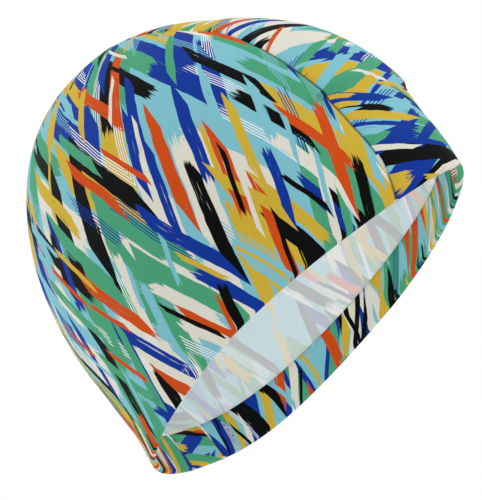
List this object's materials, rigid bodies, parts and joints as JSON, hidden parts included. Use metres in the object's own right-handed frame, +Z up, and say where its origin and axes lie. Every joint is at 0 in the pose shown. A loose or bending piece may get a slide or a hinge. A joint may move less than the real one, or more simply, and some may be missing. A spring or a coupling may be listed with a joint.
{
  "type": "swim cap",
  "caption": "Stretch-cloth swim cap in its worn form: a side panel over each ear, a tapering centre panel and a turned-in hem; all-over brush-stroke print.",
  "frame": {"origin": "inside of the crown, where the top of the wearer's head sits", "axes": "+X to the forehead, +Y to the wearer's left, +Z up"},
  "size_m": [0.199, 0.1658, 0.1732],
  "materials": {
    "printed_cloth": "matte stretch knit, printed all over with brush strokes in aqua, cobalt, black, orange, mustard, sea green and cream",
    "printed_center": "the same printed knit, cut across",
    "printed_hem": "the same printed knit, turned in at the rim"
  },
  "bodies": {
    "root": {"side_panel_right": "printed_cloth", "side_panel_left": "printed_cloth", "center_panel": "printed_center", "hem_right": "printed_hem", "hem_left": "printed_hem", "hem_front": "printed_hem", "hem_back": "printed_hem"}
  },
  "joints": []
}
